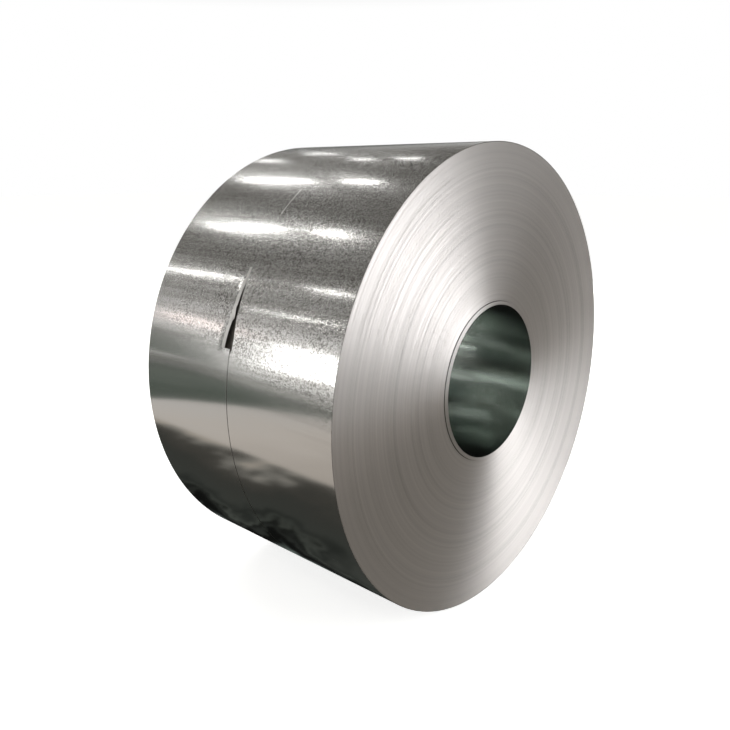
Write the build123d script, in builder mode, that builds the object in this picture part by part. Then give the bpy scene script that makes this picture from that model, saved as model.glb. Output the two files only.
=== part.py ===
from build123d import *
import math
import os

os.makedirs("parts", exist_ok=True)

# A coil of galvanised sheet steel, lying on its side. The axis of the coil runs along Y,
# and the origin is on that axis, at the middle of the strip's width. Sizes are in mm and
# angles in degrees, from +X towards +Z.
outer_diameter = 1840
bore_diameter = 610
strip_width = 1000
strip_gauge = 1.2

# The outer end of the strip lies low on the +X side, where the coil's weight holds it.
tail_angle = -38.4

# The strip wandered a little to and fro as it was wound, so the edges of each group of
# turns stand out at one end of the coil and lie back by as much at the other.
turn_groups = 14
edge_wander = 2.4
wander_step = 137.5

# The innermost turns were pushed out towards -Y when the mandrel was drawn.
eye_thickness = 14
eye_reach = 8

# A slit runs round the outer turns near the middle of the width, and the sheet beside it
# is torn: the tear widens downwards and ends square.
slit_from_end = 510
slit_width = 3
slit_depth = 3
tear_top = 153
tear_bottom = 167.5
tear_width = 42
tear_depth = 6

outer_radius = outer_diameter / 2
bore_radius = bore_diameter / 2
eye_radius = bore_radius + eye_thickness
group_build_up = (outer_radius - eye_radius) / turn_groups
last_group_radius = outer_radius - group_build_up
slit_y = slit_from_end - strip_width / 2
coil_axis = Axis((0, 0, 0), (0, 1, 0))


# The direction out from the axis at an angle.
def outwards(angle):
    return Vector(math.cos(math.radians(angle)), 0, math.sin(math.radians(angle)))


# How far a group of turns lies towards +Y. The last group lies true.
def edge_offset(group):
    return edge_wander * math.sin(math.radians(wander_step * (turn_groups - 1 - group)))


# The wrap drops by the thickness of the sheet where the strip ends: half of its outline
# is drawn at the full radius, and the other half comes in under the end of the strip.
with BuildPart() as outer_wrap:
    with BuildSketch(Plane.XZ):
        with BuildLine():
            drop = outwards(tail_angle + 180) * strip_gauge / 2
            over = CenterArc((0, 0), outer_radius, tail_angle, 180)
            under = CenterArc((drop.X, drop.Z), outer_radius - strip_gauge / 2, tail_angle + 180, 180)
            Line(under @ 1, over @ 0)
        make_face()
        Circle(last_group_radius, mode=Mode.SUBTRACT)
    extrude(amount=strip_width / 2, both=True)

# The tear is cut by a wedge that stops at the turns below.
tear_middle = (tear_top + tear_bottom) / 2
tear_length = outer_radius * math.radians(tear_bottom - tear_top)
tear_face = Plane(outwards(tear_middle) * outer_radius, (0, 1, 0), outwards(tear_middle))

with BuildPart() as tear:
    with BuildSketch(tear_face):
        with BuildLine():
            Polyline(
                (slit_y, tear_length / 2),
                (slit_y, -tear_length / 2),
                (slit_y + tear_width, -tear_length / 2),
                close=True,
            )
        make_face()
    extrude(amount=2 * tear_depth + tear_length / 4, both=True)
    with BuildSketch(Plane.XZ):
        Circle(outer_radius - tear_depth)
    extrude(amount=strip_width, both=True, mode=Mode.SUBTRACT)

# Every group of turns is a ring as long as the strip is wide.
half_section = Plane((0, 0, 0), outwards(tail_angle), outwards(tail_angle + 90))

with BuildPart() as steel_coil:
    with BuildSketch(half_section):
        with Locations((bore_radius + eye_thickness / 2, -eye_reach)):
            Rectangle(eye_thickness, strip_width)
        for group in range(turn_groups - 1):
            with Locations((eye_radius + (group + 0.5) * group_build_up, edge_offset(group))):
                Rectangle(group_build_up, strip_width)
    revolve(axis=coil_axis)
    add(outer_wrap.part)
    with BuildSketch(half_section):
        with Locations((outer_radius, slit_y)):
            Rectangle(2 * slit_depth, slit_width)
    revolve(axis=coil_axis, mode=Mode.SUBTRACT)
    add(tear.part, mode=Mode.SUBTRACT)

steel_coil.part.label = "steel_coil"
export_step(steel_coil.part, "parts/steel_coil.step")

section_radii = outer_radius**2 - bore_radius**2
print("plain ring", math.pi * section_radii * strip_width / 1e9, "m3")
print("modelled coil", steel_coil.part.volume / 1e9, "m3")
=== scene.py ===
import math
import random

import bmesh
import bpy
from mathutils import Matrix, Vector, noise


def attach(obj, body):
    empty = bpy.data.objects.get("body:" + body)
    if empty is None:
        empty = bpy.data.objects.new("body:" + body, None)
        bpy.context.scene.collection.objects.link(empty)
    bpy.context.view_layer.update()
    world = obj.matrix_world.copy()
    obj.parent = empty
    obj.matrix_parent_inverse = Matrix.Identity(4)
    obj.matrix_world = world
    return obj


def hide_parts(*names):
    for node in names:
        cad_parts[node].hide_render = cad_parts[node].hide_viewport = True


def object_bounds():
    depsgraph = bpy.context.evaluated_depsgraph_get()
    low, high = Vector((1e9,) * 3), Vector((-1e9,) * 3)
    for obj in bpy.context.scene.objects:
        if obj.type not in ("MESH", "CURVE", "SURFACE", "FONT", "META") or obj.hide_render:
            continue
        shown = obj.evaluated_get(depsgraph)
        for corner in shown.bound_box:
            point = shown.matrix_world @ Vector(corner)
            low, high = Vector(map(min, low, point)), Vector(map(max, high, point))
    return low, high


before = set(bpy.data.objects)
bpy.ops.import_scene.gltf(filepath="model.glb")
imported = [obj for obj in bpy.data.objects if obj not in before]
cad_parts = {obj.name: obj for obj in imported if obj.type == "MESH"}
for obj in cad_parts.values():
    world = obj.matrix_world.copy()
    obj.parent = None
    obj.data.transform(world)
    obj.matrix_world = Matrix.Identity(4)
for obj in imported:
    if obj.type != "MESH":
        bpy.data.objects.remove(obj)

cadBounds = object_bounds()
body = "root"
nodeName = "steel_coil"
floorZ = cadBounds[0].z
mergeDistance = 1e-6
noiseLow, noiseHigh = 0.3, 0.7  # most values of a noise lie between these

# The coil lies along Y, with its axis through the origin. Metres, and degrees from +X towards +Z.
coil = {
    "outerRadius": 0.9197,
    "boreRadius": 0.305,
    "width": 1.000,
    "gauge": 0.0012,  # thickness of the sheet
    "tailAngle": -38.4,  # where the strip ends
    "slitY": 0.010,  # middle of the slit
    "sharpAngle": 30,  # edges bent by more than this are drawn sharp
}


# Linear colour from an sRGB hex value.
def hexColour(text):
    channels = [int(text[i:i + 2], 16) / 255 for i in (1, 3, 5)]
    return [c / 12.92 if c <= 0.04045 else ((c + 0.055) / 1.055) ** 2.4 for c in channels] + [1]


# Adds a node, sets it, and links or sets its inputs.
def addNode(tree, kind, inputs=None, **settings):
    node = tree.nodes.new(kind)
    for key, value in settings.items():
        setattr(node, key, value)
    for key, value in (inputs or {}).items():
        if isinstance(value, bpy.types.NodeSocket):
            tree.links.new(value, node.inputs[key])
        else:
            node.inputs[key].default_value = value
    return node


def newMaterial(name):
    material = bpy.data.materials.new(name)
    material.use_nodes = True
    material.node_tree.nodes.clear()
    return material, material.node_tree


# Value at a place of a line drawn through (place, value) pairs.
def between(pairs, place):
    if place <= pairs[0][0]:
        return pairs[0][1]
    for (a, low), (b, high) in zip(pairs, pairs[1:]):
        if place <= b:
            return low + (high - low) * (place - a) / (b - a)
    return pairs[-1][1]


# Degrees round the coil from the end of the strip, 0 to 360.
def fromTail(co):
    return (math.degrees(math.atan2(co.z, co.x)) - coil["tailAngle"]) % 360


# Degrees above the level of the axis on the -X side, -180 to 180.
def aboveAxis(co):
    return math.degrees(math.atan2(co.z, -co.x))


def facesAlongY(face):
    return abs(face.normal.y) > 0.5


# Within a centimetre of either end of the coil.
def liesAtEnd(face):
    return abs(face.calc_center_median().y) > coil["width"] / 2 - 0.01


def addPiece(name, bm, materials, pickMaterial):
    bm.normal_update()
    for face in bm.faces:
        face.smooth = True
        face.material_index = pickMaterial(face)
    mesh = bpy.data.meshes.new(name)
    bm.to_mesh(mesh)
    bm.free()
    for material in materials:
        mesh.materials.append(material)
    mesh.set_sharp_from_angle(angle=math.radians(coil["sharpAngle"]))
    piece = bpy.data.objects.new(name, mesh)
    bpy.context.scene.collection.objects.link(piece)
    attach(piece, body)
    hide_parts(nodeName)


# Turns a closed outline of (radius, y) points into a ring.
def turnOutline(points, segments):
    bm = bmesh.new()
    corners = [bm.verts.new((r, y, 0)) for r, y in points]
    edges = [bm.edges.new(pair) for pair in zip(corners, corners[1:] + corners[:1])]
    bmesh.ops.spin(bm, geom=corners + edges, cent=(0, 0, 0), axis=(0, 1, 0), angle=2 * math.pi,
                   steps=segments, use_merge=True)
    bmesh.ops.remove_doubles(bm, verts=bm.verts, dist=mergeDistance)
    bmesh.ops.recalc_face_normals(bm, faces=bm.faces)
    return bm


# Hot-dip galvanised sheet, skin-passed: a bright zinc mirror. On the upper side of the coil,
# where damp has settled, grains of its small spangle have gone satin and spread a soft glow
# round each reflection, and some have gone dull and pepper it. The rest is smooth, with faint
# streaks from edge to edge. Sizes in metres; a pair says where something starts and where it
# is in full.
sheet = {
    "colour": "#b4b3b0",
    "streakColour": "#a19f9c",
    "dullColour": "#787672",
    "roughness": 0.12,
    "satinRoughness": 0.20,  # added on a satin grain
    "satinGrain": 0.0011,
    "satinTint": (0.28, 0.62),  # of a grain's random tint
    "satinHeight": (0.03, 0.24),  # above the axis
    "lean": 0.004,  # lean of a satin grain, as a slope
    "dullGrain": 0.0050,  # real grains are 1 to 3 mm, drawn coarser so that they show
    "dullTint": (0.52, 0.85),
    "dullHeight": (0.12, 0.21),
    "dampRise": 0.22,  # damp reached lower at the near end: its edge rises so for each metre of Y
    "cleanTop": (0.50, 0.95),  # of y + cleanRise * z: the far part of the top stayed cleaner
    "cleanRise": 0.9,
    "cleanLeast": 0.3,  # share of the dull grains that is left there
    "patch": 0.15,  # size of a clouded patch
    "patchCloud": (0.36, 0.60),  # of the noise
    "patchLeast": 0.55,  # share of the dull grains between the patches
    "wave": 0.35,  # length of a slow wave in the sheet
    "waveHeight": 0.00022,
    "streak": 0.014,  # breadth of a streak
    "streakHeight": 0.00001,
    "streakTone": (0.42, 0.68),
    "streakStretch": 0.03,  # breadth of a streak over its length
}


# The sheet's slow waves and the streaks rolled into it, as bump.
def rolledSheet(tree, place, finish):
    wave = addNode(tree, "ShaderNodeTexNoise", {"Vector": place, "Scale": 1 / sheet["wave"], "Detail": 1})
    waveBump = addNode(tree, "ShaderNodeBump", {
        "Height": wave.outputs["Fac"], "Strength": 1.0, "Distance": sheet["waveHeight"]})
    stretched = addNode(tree, "ShaderNodeMapping", {"Vector": place, "Scale": (1, sheet["streakStretch"], 1)})
    streak = addNode(tree, "ShaderNodeTexNoise", {
        "Vector": stretched.outputs["Vector"], "Scale": 1 / finish["streak"], "Detail": 3})
    streakBump = addNode(tree, "ShaderNodeBump", {
        "Height": streak.outputs["Fac"], "Strength": 1.0, "Distance": finish["streakHeight"],
        "Normal": waveBump.outputs["Normal"]})
    return streak, streakBump


def galvanisedSheet(name):
    material, tree = newMaterial(name)
    place = addNode(tree, "ShaderNodeTexCoord").outputs["Object"]
    height = addNode(tree, "ShaderNodeVectorMath", {0: place, 1: (0, -sheet["dampRise"], 1)},
                     operation="DOT_PRODUCT")
    satinReach = addNode(tree, "ShaderNodeMapRange", {
        "Value": height.outputs["Value"], "From Min": sheet["satinHeight"][0],
        "From Max": sheet["satinHeight"][1], "To Min": 0.0, "To Max": 1.0})
    dullReach = addNode(tree, "ShaderNodeMapRange", {
        "Value": height.outputs["Value"], "From Min": sheet["dullHeight"][0],
        "From Max": sheet["dullHeight"][1], "To Min": 0.0, "To Max": 1.0})
    across = addNode(tree, "ShaderNodeVectorMath", {0: place, 1: (0, 1, sheet["cleanRise"])},
                     operation="DOT_PRODUCT")
    cleanTop = addNode(tree, "ShaderNodeMapRange", {
        "Value": across.outputs["Value"], "From Min": sheet["cleanTop"][0],
        "From Max": sheet["cleanTop"][1], "To Min": 1.0, "To Max": sheet["cleanLeast"]})
    clouds = addNode(tree, "ShaderNodeTexNoise", {"Vector": place, "Scale": 1 / sheet["patch"], "Detail": 4})
    patches = addNode(tree, "ShaderNodeMapRange", {
        "Value": clouds.outputs["Fac"], "From Min": sheet["patchCloud"][0],
        "From Max": sheet["patchCloud"][1], "To Min": sheet["patchLeast"], "To Max": 1.0})

    satinGrains = addNode(tree, "ShaderNodeTexVoronoi", {"Vector": place, "Scale": 1 / sheet["satinGrain"]})
    satinTint = addNode(tree, "ShaderNodeSeparateColor", {"Color": satinGrains.outputs["Color"]})
    satinPicked = addNode(tree, "ShaderNodeMapRange", {
        "Value": satinTint.outputs["Red"], "From Min": sheet["satinTint"][0],
        "From Max": sheet["satinTint"][1], "To Min": 0.0, "To Max": 1.0})
    satin = addNode(tree, "ShaderNodeMath", {
        0: satinPicked.outputs["Result"], 1: satinReach.outputs["Result"]}, operation="MULTIPLY")
    dullGrains = addNode(tree, "ShaderNodeTexVoronoi", {"Vector": place, "Scale": 1 / sheet["dullGrain"]})
    dullTint = addNode(tree, "ShaderNodeSeparateColor", {"Color": dullGrains.outputs["Color"]})
    dullPicked = addNode(tree, "ShaderNodeMapRange", {
        "Value": dullTint.outputs["Red"], "From Min": sheet["dullTint"][0],
        "From Max": sheet["dullTint"][1], "To Min": 0.0, "To Max": 1.0})
    dull = dullPicked.outputs["Result"]
    for share in (dullReach, cleanTop, patches):
        kept = addNode(tree, "ShaderNodeMath", {0: dull, 1: share.outputs["Result"]}, operation="MULTIPLY")
        dull = kept.outputs["Value"]

    streak, streakBump = rolledSheet(tree, place, sheet)
    streakTone = addNode(tree, "ShaderNodeMapRange", {
        "Value": streak.outputs["Fac"], "From Min": sheet["streakTone"][0],
        "From Max": sheet["streakTone"][1], "To Min": 0.0, "To Max": 1.0})
    streaks = addNode(tree, "ShaderNodeMath", {
        0: streakTone.outputs["Result"], 1: satinReach.outputs["Result"]}, operation="MULTIPLY")
    zinc = addNode(tree, "ShaderNodeMix", {
        "Factor": streaks.outputs["Value"], 6: hexColour(sheet["colour"]),
        7: hexColour(sheet["streakColour"])}, data_type="RGBA")
    peppered = addNode(tree, "ShaderNodeMix", {
        "Factor": dull, 6: zinc.outputs[2], 7: hexColour(sheet["dullColour"])}, data_type="RGBA")
    rough = addNode(tree, "ShaderNodeMath", {
        0: satin.outputs["Value"], 1: sheet["satinRoughness"], 2: sheet["roughness"]},
        operation="MULTIPLY_ADD")
    # a satin grain leans by its own random colour
    centred = addNode(tree, "ShaderNodeVectorMath", {0: satinGrains.outputs["Color"], 1: (0.5, 0.5, 0.5)},
                      operation="SUBTRACT")
    slope = addNode(tree, "ShaderNodeMath", {0: satin.outputs["Value"], 1: sheet["lean"]},
                    operation="MULTIPLY")
    leaned = addNode(tree, "ShaderNodeVectorMath", {
        0: centred.outputs["Vector"], "Scale": slope.outputs["Value"]}, operation="SCALE")
    facets = addNode(tree, "ShaderNodeVectorMath", {
        0: streakBump.outputs["Normal"], 1: leaned.outputs["Vector"]}, operation="ADD")
    normal = addNode(tree, "ShaderNodeVectorMath", {0: facets.outputs["Vector"]}, operation="NORMALIZE")
    steel = addNode(tree, "ShaderNodeBsdfPrincipled", {
        "Base Color": peppered.outputs[2], "Metallic": 1.0, "Roughness": rough.outputs["Value"],
        "Normal": normal.outputs["Vector"]})
    addNode(tree, "ShaderNodeOutputMaterial", {"Surface": steel.outputs["BSDF"]})
    return material


# The innermost face of the coil is the same sheet, kept dry: a zinc mirror without dull
# grains, blurred a little by deeper streaks from the mandrel. Its faint green tint is painted
# reflection, of a green floor.
bore = {
    "colour": "#c1c6c2",
    "roughness": 0.15,
    "streak": 0.008,
    "streakHeight": 0.00008,
}


def boreSheet(name):
    material, tree = newMaterial(name)
    place = addNode(tree, "ShaderNodeTexCoord").outputs["Object"]
    streakBump = rolledSheet(tree, place, bore)[1]
    steel = addNode(tree, "ShaderNodeBsdfPrincipled", {
        "Base Color": hexColour(bore["colour"]), "Metallic": 1.0, "Roughness": bore["roughness"],
        "Normal": streakBump.outputs["Normal"]})
    addNode(tree, "ShaderNodeOutputMaterial", {"Surface": steel.outputs["BSDF"]})
    return material


# Where the sheet was bent and torn its zinc has crazed: satin, with fine cracks. Its pale colour
# is partly painted highlight, for the light that the bent flap and the slit edge catch.
strainedSheen = {
    "colour": "#c6c4c0",
    "roughness": (0.28, 0.40),
    "crack": 0.004545,  # from one crack to the next
    "crackDepth": 0.0001,
}


def strainedSheenSheet(name):
    material, tree = newMaterial(name)
    place = addNode(tree, "ShaderNodeTexCoord").outputs["Object"]
    cracks = addNode(tree, "ShaderNodeTexNoise", {
        "Vector": place, "Scale": 1 / strainedSheen["crack"], "Detail": 3})
    rough = addNode(tree, "ShaderNodeMapRange", {
        "Value": cracks.outputs["Fac"], "From Min": noiseLow, "From Max": noiseHigh,
        "To Min": strainedSheen["roughness"][0], "To Max": strainedSheen["roughness"][1]})
    bump = addNode(tree, "ShaderNodeBump", {
        "Height": cracks.outputs["Fac"], "Strength": 1.0, "Distance": strainedSheen["crackDepth"]})
    steel = addNode(tree, "ShaderNodeBsdfPrincipled", {
        "Base Color": hexColour(strainedSheen["colour"]), "Metallic": 1.0, "Roughness": rough.outputs["Result"],
        "Normal": bump.outputs["Normal"]})
    addNode(tree, "ShaderNodeOutputMaterial", {"Surface": steel.outputs["BSDF"]})
    return material


# Sheared edges of the sheet, wound side by side: satin steel brushed in circles, so that the
# light draws out into two pale wedges across the end of the coil.
ends = {
    "colour": "#c2bfbd",
    "darkColour": "#b9b6b5",
    "band": 0.01818,  # breadth of a paler or a darker band
    "roughness": 0.50,
    "anisotropy": 0.93,
    "turn": 0.0038,  # one fine line, drawn as coarse as it needs to show
    "turnHeight": 0.00022,
    "sheared": 0.010,  # breadth of a group of turns that was sheared alike
    "keenness": (0.85, 1.15),  # share of the roughness, from a keen knife to a blunt one
}


def shearedEdges(name):
    material, tree = newMaterial(name)
    place = addNode(tree, "ShaderNodeTexCoord").outputs["Object"]
    axes = addNode(tree, "ShaderNodeSeparateXYZ", {"Vector": place})
    flat = addNode(tree, "ShaderNodeCombineXYZ", {"X": axes.outputs["X"], "Y": 0.0, "Z": axes.outputs["Z"]})
    radius = addNode(tree, "ShaderNodeVectorMath", {0: flat.outputs["Vector"]}, operation="LENGTH")
    outwards = addNode(tree, "ShaderNodeVectorMath", {0: flat.outputs["Vector"]}, operation="NORMALIZE")
    bands = addNode(tree, "ShaderNodeTexNoise", {
        "W": radius.outputs["Value"], "Scale": 1 / ends["band"], "Detail": 4}, noise_dimensions="1D")
    tone = addNode(tree, "ShaderNodeMapRange", {
        "Value": bands.outputs["Fac"], "From Min": noiseLow, "From Max": noiseHigh,
        "To Min": 0.0, "To Max": 1.0})
    colour = addNode(tree, "ShaderNodeMix", {
        "Factor": tone.outputs["Result"], 6: hexColour(ends["darkColour"]), 7: hexColour(ends["colour"])},
        data_type="RGBA")
    groups = addNode(tree, "ShaderNodeTexNoise", {
        "W": radius.outputs["Value"], "Scale": 1 / ends["sheared"], "Detail": 3}, noise_dimensions="1D")
    keenness = addNode(tree, "ShaderNodeMapRange", {
        "Value": groups.outputs["Fac"], "From Min": noiseLow, "From Max": noiseHigh,
        "To Min": ends["keenness"][0], "To Max": ends["keenness"][1]})
    rough = addNode(tree, "ShaderNodeMath", {0: keenness.outputs["Result"], 1: ends["roughness"]},
                    operation="MULTIPLY")
    lines = addNode(tree, "ShaderNodeTexNoise", {
        "W": radius.outputs["Value"], "Scale": 1 / ends["turn"], "Detail": 3}, noise_dimensions="1D")
    bump = addNode(tree, "ShaderNodeBump", {
        "Height": lines.outputs["Fac"], "Strength": 1.0, "Distance": ends["turnHeight"]})
    steel = addNode(tree, "ShaderNodeBsdfPrincipled", {
        "Base Color": colour.outputs[2], "Metallic": 1.0, "Roughness": rough.outputs["Value"],
        "Anisotropic": ends["anisotropy"], "Tangent": outwards.outputs["Vector"],
        "Normal": bump.outputs["Normal"]})
    addNode(tree, "ShaderNodeOutputMaterial", {"Surface": steel.outputs["BSDF"]})
    return material


# Painted shade: the turn below the slit is drawn almost black, in dark blotches, for the shade
# down in the slit. The cut ends of the outer wrap at the rims take the same dark colour.
paintedShade = {
    "darkColour": "#2e2b28",
    "paleColour": "#6e6862",
    "blotch": 0.01111,
    "metallic": 0.6,
    "roughness": 0.55,
}


def paintedShadeTurn(name):
    material, tree = newMaterial(name)
    place = addNode(tree, "ShaderNodeTexCoord").outputs["Object"]
    grime = addNode(tree, "ShaderNodeTexNoise", {"Vector": place, "Scale": 1 / paintedShade["blotch"], "Detail": 4})
    colour = addNode(tree, "ShaderNodeMix", {
        "Factor": grime.outputs["Fac"], 6: hexColour(paintedShade["darkColour"]), 7: hexColour(paintedShade["paleColour"])},
        data_type="RGBA")
    steel = addNode(tree, "ShaderNodeBsdfPrincipled", {
        "Base Color": colour.outputs[2], "Metallic": paintedShade["metallic"], "Roughness": paintedShade["roughness"]})
    addNode(tree, "ShaderNodeOutputMaterial", {"Surface": steel.outputs["BSDF"]})
    return material


wrapSteel = galvanisedSheet("galvanised sheet, outer wrap")
boreSteel = boreSheet("galvanised sheet, bore")
edgeSteel = shearedEdges("sheared edges of the turns")
paintedShadeSteel = paintedShadeTurn("painted shade, dark steel below the slit and at the rims")
strainedSheenSteel = strainedSheenSheet("galvanised sheet, strained at the tear, with painted sheen")
print("materials made")

# The turns between the eye and the outer wrap. The strip wandered to and fro as it was wound,
# so groups of turns stand out or lie back, and each turn differs a little from the next.
turns = {
    "innerRadius": 0.3196,
    "outerRadius": 0.9172,
    "groups": 14,
    "wander": 0.0020,
    "wanderStep": 137.5,  # degrees of swing from one group to the next
    "finePerGroup": 8,
    "fineWander": 0.00014,
    "tilt": 0.00006,  # how far one edge of a fine ridge stands above the other, halved
    "segments": 192,
    "seed": 7,
}


def groupOffset(group):
    swing = math.radians(turns["wanderStep"] * (turns["groups"] - 1 - group))
    return turns["wander"] * math.sin(swing)


def makeTurns():
    dice = random.Random(turns["seed"])
    half = coil["width"] / 2
    build = (coil["outerRadius"] - turns["innerRadius"]) / turns["groups"]
    offsets = [(group + 0.5, groupOffset(group)) for group in range(turns["groups"])]
    near, far = [], []
    for step in range(turns["groups"] * turns["finePerGroup"]):
        group = step / turns["finePerGroup"]
        start = turns["innerRadius"] + group * build
        stop = min(start + build / turns["finePerGroup"], turns["outerRadius"])
        shift = between(offsets, group) + dice.uniform(-1, 1) * turns["fineWander"]
        tilt = dice.uniform(-1, 1) * turns["tilt"]
        near += [(start, shift + tilt - half), (stop, shift - tilt - half)]
        far += [(start, shift + tilt + half), (stop, shift - tilt + half)]
    bm = turnOutline(near + far[::-1], turns["segments"])
    # the faces round the turns take the painted shade: the outer one shows only through the slit
    addPiece("wound_turns", bm, [edgeSteel, paintedShadeSteel, boreSteel],
             lambda face: 0 if facesAlongY(face) else 2 if liesAtEnd(face) else 1)


# The innermost turns were pushed out of the near end, each a little less than the one inside it.
eye = {
    "reaches": [(coil["boreRadius"], 0.0080), (0.3072, 0.0074), (0.3100, 0.0064), (0.3135, 0.0050)],
    "outerRadius": 0.3180,
    "segments": 192,
}


def makeEye():
    half = coil["width"] / 2
    near, far = [], []
    radii = [radius for radius, reach in eye["reaches"]] + [eye["outerRadius"]]
    for (radius, reach), nextRadius in zip(eye["reaches"], radii[1:]):
        near += [(radius, -half - reach), (nextRadius, -half - reach)]
        far += [(radius, half - reach), (nextRadius, half - reach)]
    bm = turnOutline(near + far[::-1], eye["segments"])
    addPiece("eye_turns", bm, [edgeSteel, boreSteel], lambda face: 0 if facesAlongY(face) else 1)


# The outer wrap is two sheets, one each side of the slit. The slit is tight on top of the
# coil and opens below. Pairs are (degrees above the axis on the -X side, metres).
wrap = {
    "coarse": 1.2,  # degrees from one column of faces to the next
    "fullTurn": 359.99,  # just short of 360, so that the two ends of the wrap stay apart
    # rows of faces from the slit: these, then even ones
    "rows": [0, 0.004, 0.008, 0.012, 0.016, 0.020, 0.024, 0.029, 0.034, 0.038, 0.042, 0.07, 0.11, 0.16],
    "evenRows": 9,
    "drop": 0.0013,  # fall from the end of the strip to the turn below
    "gap": [(-150, 0.0020), (-60, 0.0030), (-30, 0.0050), (-12, 0.0038), (10, 0.0030), (26, 0.0022),
            (28.5, 0.0006), (50, 0.0004), (61, 0.0016), (66, 0.0016), (70, 0.0005), (120, 0.0005)],
    "gapFade": 0.07,  # the sheet is drawn aside this far from the slit
    # along the slit, a strip drawn pale as painted highlight, where a burred edge would catch light
    "slitEdgeHighlight": (45.5, 53.8, 0.005),  # pale edge along the slit: from, to, breadth
    "wave": 0.00016,
    "wavesPerMetre": 3.1,
    "waveStretch": 0.7,
    "wavePlace": 5,  # part of the noise that is used
}
# Beside the slit the far sheet is bent up and torn off square at its lower end.
tear = {
    "top": 30.1,
    "bottom": 12.4,
    "fine": 0.3,
    "lift": [(12.4, 0.0145), (15, 0.012), (18.7, 0.0075), (19.2, 0.005), (22, 0.006), (25, 0.0035),
             (27.5, 0.0008), (30.1, 0)],
    "bend": 1.2,  # 1 lifts the flap straight, more curls its edge
    "flap": [(12.4, 0.042), (18.6, 0.030), (25, 0.019), (30.8, 0.011)],
    "hinge": [(12.4, 0.042), (22, 0.044), (28, 0.036), (30.1, 0.03)],
    "farPull": [(12.4, 0.013), (16, 0.010), (18.5, 0.006), (19.2, 0.001), (20.5, 0.001), (21.5, 0.005),
                (22.5, 0.001), (26, 0.001), (28, 0)],
    "nearPull": [(9, 0), (12.0, 0.001), (12.4, 0.010), (15, 0.010), (18.5, 0.005), (19.5, 0.001),
                 (21.5, 0.003), (23, 0.001), (28, 0)],
}


def makeWrap(name, side):
    edge = coil["slitY"]
    rows = list(wrap["rows"])
    rest = abs(side * coil["width"] / 2 - edge) - rows[-1]
    rows += [rows[-1] + rest * i / wrap["evenRows"] for i in range(1, wrap["evenRows"] + 1)]
    bm = bmesh.new()
    turnTail = Matrix.Rotation(-math.radians(coil["tailAngle"]), 3, "Y")
    line = [bm.verts.new(turnTail @ Vector((coil["outerRadius"], edge + side * row, 0))) for row in rows]
    last = line + [bm.edges.new(pair) for pair in zip(line, line[1:])]
    # three arcs from the end of the strip: up to the tear, along it, and on round
    stops = [coil["tailAngle"], 180 - tear["top"], 180 - tear["bottom"], coil["tailAngle"] + wrap["fullTurn"]]
    for start, stop, pitch in zip(stops, stops[1:], (wrap["coarse"], tear["fine"], wrap["coarse"])):
        made = bmesh.ops.spin(bm, geom=last, cent=(0, 0, 0), axis=(0, -1, 0),
                              angle=math.radians(stop - start), steps=round((stop - start) / pitch))
        last = made["geom_last"]
    bmesh.ops.remove_doubles(bm, verts=bm.verts, dist=mergeDistance)
    lifted = ripTear(bm) if side > 0 else set()
    for vert in bm.verts:
        shapeSheet(vert, side, vert in lifted)
    bmesh.ops.recalc_face_normals(bm, faces=bm.faces)
    facing = sum(face.normal.dot(face.calc_center_median().normalized()) for face in bm.faces)
    if facing < 0:
        bmesh.ops.reverse_faces(bm, faces=bm.faces)
    bmesh.ops.solidify(bm, geom=bm.faces[:] + bm.edges[:] + bm.verts[:], thickness=coil["gauge"])

    def pickMaterial(face):
        if facesAlongY(face):
            # the cut ends of the wrap at the rims take the dark colour of the painted shade
            return 3 if liesAtEnd(face) else 0
        return 2 if side > 0 and isFlap(face) else 1

    addPiece(name, bm, [edgeSteel, wrapSteel, strainedSheenSteel, paintedShadeSteel], pickMaterial)


# Moves a point of the wrap to its place: the spiral, the slow waves, the slit and the tear.
def shapeSheet(vert, side, isLifted):
    turned = fromTail(vert.co)
    high = aboveAxis(vert.co)
    fromSlit = abs(vert.co.y - coil["slitY"])
    drop = 0 if turned < 180 else wrap["drop"] / 2 * (1 - math.cos(math.radians(turned - 180)))
    sample = Vector((vert.co.x, vert.co.y * wrap["waveStretch"], vert.co.z)) * wrap["wavesPerMetre"]
    ripple = noise.noise(sample + Vector((wrap["wavePlace"], 0, 0)))
    radius = coil["outerRadius"] - drop - wrap["wave"] * (1 + ripple)
    pull = between(wrap["gap"], high) / 2
    if isLifted:
        share = max(0, 1 - fromSlit / between(tear["hinge"], high))
        radius += between(tear["lift"], high) * share ** tear["bend"]
        pull += between(tear["farPull"], high)
    elif side < 0:
        pull += between(tear["nearPull"], high)
    y = vert.co.y + side * pull * max(0, 1 - fromSlit / wrap["gapFade"])
    vert.co = Vector((vert.co.x, 0, vert.co.z)).normalized() * radius + Vector((0, y, 0))


# The strip of sheet beside the tear that is bent up, and a strip along the slit above it, drawn
# pale as a painted highlight.
def isFlap(face):
    middle = face.calc_center_median()
    high = aboveAxis(middle)
    fromSlit = middle.y - coil["slitY"]
    start, stop, breadth = wrap["slitEdgeHighlight"]
    if start < high < stop:
        return fromSlit < breadth
    return tear["bottom"] < high < tear["flap"][-1][0] and fromSlit < between(tear["flap"], high)


# Splits the sheet along the lower end of the tear, and gives the vertices that lift.
def ripTear(bm):
    sameRow = 0.02  # degrees
    spare = 1e-4
    ladder = min((abs(aboveAxis(v.co) - tear["bottom"]), aboveAxis(v.co)) for v in bm.verts)[1]
    reach = coil["slitY"] + tear["hinge"][0][1] + spare
    cut = [e for e in bm.edges
           if all(abs(aboveAxis(v.co) - ladder) < sameRow and v.co.y < reach for v in e.verts)]
    bmesh.ops.split_edges(bm, edges=cut)
    lifted = set()
    for face in bm.faces:
        if ladder < aboveAxis(face.calc_center_median()) < tear["top"]:
            lifted.update(face.verts)
    return lifted


makeTurns()
makeEye()
makeWrap("outer_wrap_near", -1)
makeWrap("outer_wrap_far", 1)
print("pieces made")

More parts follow.
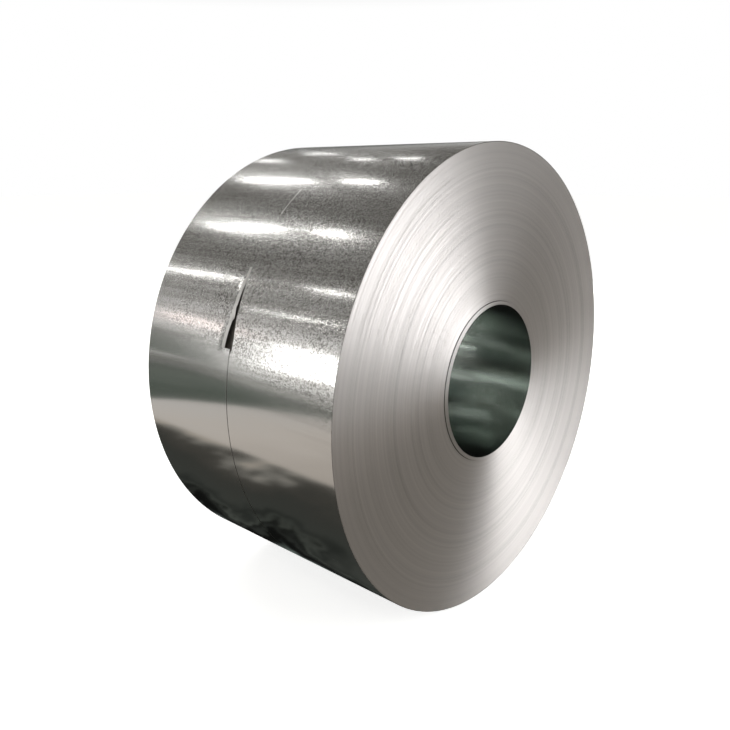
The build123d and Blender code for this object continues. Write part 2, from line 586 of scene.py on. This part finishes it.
# A plain pale floor. Its own light lifts it to white for the camera and for the steel alike,
# and its paint still takes the shadow of the coil.
floorLook = {
    "size": 120,
    "colour": "#f4f4f2",
    "lift": 0.76,
}
floorMaterial, tree = newMaterial("floor")
paint = addNode(tree, "ShaderNodeBsdfDiffuse", {"Color": hexColour(floorLook["colour"])})
rays = addNode(tree, "ShaderNodeLightPath")
seen = addNode(tree, "ShaderNodeMath", {0: rays.outputs["Is Camera Ray"], 1: rays.outputs["Is Glossy Ray"]},
               operation="MAXIMUM")
seen = addNode(tree, "ShaderNodeMath", {0: seen.outputs["Value"], 1: rays.outputs["Is Transmission Ray"]},
               operation="MAXIMUM")
lift = addNode(tree, "ShaderNodeMath", {0: seen.outputs["Value"], 1: floorLook["lift"]}, operation="MULTIPLY")
glow = addNode(tree, "ShaderNodeEmission", {"Color": hexColour("#ffffff"), "Strength": lift.outputs["Value"]})
both = addNode(tree, "ShaderNodeAddShader", {0: paint.outputs["BSDF"], 1: glow.outputs["Emission"]})
addNode(tree, "ShaderNodeOutputMaterial", {"Surface": both.outputs["Shader"]})
bpy.ops.mesh.primitive_plane_add(size=floorLook["size"], location=(0, 0, floorZ))
floor = bpy.context.object
floor.name = "floor"
floor.data.materials.append(floorMaterial)

# Flags, as in a studio: cards round the coil that only the steel shows. They glow in their own
# colours and so paint reflections of a room into the steel; the dark ones by the coil paint the
# shade of the floor there. For each, the spans of x, y and z above the floor, then an axis,
# how far noise shifts the colours as a share of their span, and the colours along that axis.
flagThickness = 0.002
flagCloud = 0.4545  # size of a cloud of the noise
flags = {
    "mat": ((-1.5, 1.5), (-0.5, 2.9), (0.004, 0.004), "X", 0.10, [
        (-1.5, "#cfc6bb"), (-1.44, "#9d9b95"), (-1.34, "#56544f"), (-1.1, "#494a46"),
        (-0.85, "#484b47"), (-0.70, "#323532"), (-0.62, "#4e524d"), (-0.57, "#1c1e1c"),
        (-0.50, "#353835"), (-0.46, "#141514"), (-0.34, "#141514"), (-0.15, "#6c7671"),
        (1.5, "#868d88")]),
    "frontMat": ((-1.5, 12.0), (-9.0, -0.5), (0.004, 0.004), "Y", 0.10, [
        (-9.0, "#8f8a84"), (-0.5, "#99948c")]),
    "sideMat": ((-9.0, -1.5), (-3.0, 2.3), (0.004, 0.004), "Y", 0.06, [
        (-3.0, "#bdb3a8"), (0.2, "#ddd4cb"), (1.2, "#f1e9e1"), (2.3, "#f2eeea")]),
    "farMat": ((-9.0, 6.0), (2.3, 10.0), (0.002, 0.002), "Y", 0.06, [
        (2.3, "#78807a"), (2.8, "#69726a"), (3.6, "#7a827b"), (4.6, "#828982"), (5.3, "#6e756e"),
        (6.4, "#9c9d9a"), (7.6, "#8f908c"), (10.0, "#b4b4b0")]),
    "paleMat": ((-9.6, -5.6), (3.2, 6.2), (0.006, 0.006), "Y", 0.10, [
        (3.2, "#b9b7b3"), (6.2, "#e6e4e0")]),
    "rearCard": ((1.0, 16.0), (9.0, 9.0), (0.0, 5.2), "Z", 0.10, [(-1.0, "#525a55"), (4.3, "#5c605f")]),
    "leftCard": ((-10.2, -5.0), (11.0, 11.0), (0.0, 2.2), "Z", 0.10, [(-1.0, "#8e948e"), (1.3, "#a6a7a3")]),
    "rightCard": ((14.0, 14.0), (-15.0, 9.0), (0.0, 4.0), "Z", 0.10, [(-1.0, "#68665f"), (3.0, "#74726c")]),
}


def makeFlag(name, xs, ys, zs, axis, ragged, colours):
    material, tree = newMaterial(name)
    place = addNode(tree, "ShaderNodeTexCoord").outputs["Object"]
    along = addNode(tree, "ShaderNodeSeparateXYZ", {"Vector": place}).outputs[axis]
    low, high = colours[0][0], colours[-1][0]
    share = addNode(tree, "ShaderNodeMapRange", {"Value": along, "From Min": low, "From Max": high})
    cloud = addNode(tree, "ShaderNodeTexNoise", {"Vector": place, "Scale": 1 / flagCloud, "Detail": 4})
    shift = addNode(tree, "ShaderNodeMapRange", {
        "Value": cloud.outputs["Fac"], "From Min": noiseLow, "From Max": noiseHigh,
        "To Min": -ragged, "To Max": ragged})
    shifted = addNode(tree, "ShaderNodeMath", {0: share.outputs["Result"], 1: shift.outputs["Result"]},
                      operation="ADD")
    ramp = addNode(tree, "ShaderNodeValToRGB", {"Fac": shifted.outputs["Value"]})
    stops = ramp.color_ramp.elements
    stops[0].color, stops[1].color = hexColour(colours[0][1]), hexColour(colours[-1][1])
    for stop, colour in colours[1:-1]:
        stops.new((stop - low) / (high - low)).color = hexColour(colour)
    glow = addNode(tree, "ShaderNodeEmission", {"Color": ramp.outputs["Color"], "Strength": 1.0})
    addNode(tree, "ShaderNodeOutputMaterial", {"Surface": glow.outputs["Emission"]})
    bm = bmesh.new()
    bmesh.ops.create_cube(bm, size=1)
    spans = (xs, ys, [z + floorZ for z in zs])
    for vert in bm.verts:
        vert.co = Vector([sum(span) / 2 + (span[1] - span[0] + flagThickness) * c
                          for span, c in zip(spans, vert.co)])
    mesh = bpy.data.meshes.new(name)
    bm.to_mesh(mesh)
    bm.free()
    mesh.materials.append(material)
    flag = bpy.data.objects.new(name, mesh)
    bpy.context.scene.collection.objects.link(flag)
    flag.visible_camera = flag.visible_diffuse = flag.visible_shadow = False


for name, flag in flags.items():
    makeFlag(name, *flag)

# Strip lamps hang level in rows along Y: x, the spans of y, breadth, brightness and slant in
# degrees. Upright soft lamps face the coil: place, width, height, brightness and colour.
lamps = {
    "height": floorZ + 6.0,
    "rows": [
        (-9.6, [(8.3, 11.2)], 0.10, 44, 0),
        (-5.6, [(5.3, 6.1), (7.9, 10.4)], 0.3, 17, 0),
        (-1.8, [(3.75, 4.25), (4.85, 6.25)], 0.3, 22, 12),
        (1.4, [(3.6, 4.1), (4.65, 5.95)], 0.3, 18, 0),
        (4.3, [(4.28, 4.66), (5.1, 5.5), (7.05, 7.6)], 0.3, 12, 0),
        (6.5, [(7.5, 8.2)], 0.3, 12, 0),
        (-5.6, [(-5.4, -4.1), (-9.2, -7.9)], 0.3, 10, 0),
        (-1.8, [(-5.4, -4.1), (-9.2, -7.9)], 0.3, 10, 0),
        (1.4, [(-5.4, -4.1), (-9.2, -7.9)], 0.3, 10, 0),
        (4.3, [(-5.4, -4.1), (-9.2, -7.9)], 0.3, 10, 0),
    ],
    "upright": {
        "leftSoftbox": ((-8.0, 6.05, 1.0), 1.5, 1.8, 7.5, "#ffffff"),
        "farSoftbox": ((-8.0, 9.45, 2.2), 1.5, 0.6, 3.2, "#ffecea"),
        "frontSoftbox": ((4.35, -7.6, 2.3), 5.2, 3.6, 5.1, "#ffffff"),
        "lowSoftbox": ((4.2, -7.6, -0.2), 5.4, 1.4, 7.6, "#ffffff"),
        "backSoftbox": ((9.6, 3.2, 1.5), 3.8, 3.4, 8.5, "#ffffff"),
    },
}


# Brightness is that of the lamp's face, where 1 is white.
def makeLamp(name, place, turned, breadth, length, brightness, colour):
    lamp = bpy.data.lights.new(name, "AREA")
    lamp.shape = "RECTANGLE"
    lamp.size = breadth
    lamp.size_y = length
    lamp.energy = brightness * math.pi * breadth * length
    lamp.color = hexColour(colour)[:3]
    lampObject = bpy.data.objects.new(name, lamp)
    lampObject.location = place
    lampObject.rotation_euler = turned
    lampObject.visible_camera = False
    bpy.context.scene.collection.objects.link(lampObject)


for row, (x, spans, breadth, brightness, slant) in enumerate(lamps["rows"]):
    for number, (start, stop) in enumerate(spans):
        makeLamp(f"lamp{row}_{number}", (x, (start + stop) / 2, lamps["height"]), (0, 0, math.radians(slant)),
                 breadth, stop - start, brightness, "#ffffff")
for name, (place, breadth, length, brightness, colour) in lamps["upright"].items():
    aim = -Vector((place[0], place[1], 0))
    makeLamp(name, place, aim.to_track_quat("-Z", "Y").to_euler(), breadth, length, brightness, colour)

# The world is white near the horizon and grey overhead: (upward part of a direction, colour).
worldColours = [(0.20, "#ffffff"), (0.32, "#a9a8a4"), (0.45, "#8b8985"), (0.80, "#7a7874")]
world = bpy.data.worlds.new("studio")
bpy.context.scene.world = world
world.use_nodes = True
world.node_tree.nodes.clear()
direction = addNode(world.node_tree, "ShaderNodeTexCoord").outputs["Generated"]
upward = addNode(world.node_tree, "ShaderNodeSeparateXYZ", {"Vector": direction}).outputs["Z"]
sky = addNode(world.node_tree, "ShaderNodeValToRGB", {"Fac": upward})
stops = sky.color_ramp.elements
for element, (position, colour) in zip(stops, (worldColours[0], worldColours[-1])):
    element.position = position
    element.color = hexColour(colour)
for position, colour in worldColours[1:-1]:
    stops.new(position).color = hexColour(colour)
glow = addNode(world.node_tree, "ShaderNodeBackground", {"Color": sky.outputs["Color"], "Strength": 1.0})
addNode(world.node_tree, "ShaderNodeOutputWorld", {"Surface": glow.outputs["Background"]})
print("studio made")

# The camera stands to the left of the near end, a little above the axis. Degrees and mm.
cameraPlace = {
    "location": (-2.516, -1.997, 0.798),
    "heading": 45.935,
    "dip": 11.747,
    "lens": 36.88,
    "sensor": 36,
    "shift": (0.0616, -0.0479),
}
cameraData = bpy.data.cameras.new("camera")
cameraData.lens = cameraPlace["lens"]
cameraData.sensor_width = cameraPlace["sensor"]
cameraData.shift_x, cameraData.shift_y = cameraPlace["shift"]
camera = bpy.data.objects.new("camera", cameraData)
camera.location = cameraPlace["location"]
camera.rotation_euler = (math.radians(90 - cameraPlace["dip"]), 0, -math.radians(cameraPlace["heading"]))
bpy.context.scene.collection.objects.link(camera)
bpy.context.scene.camera = camera
bpy.context.scene.view_settings.view_transform = "Standard"

bpy.context.view_layer.update()
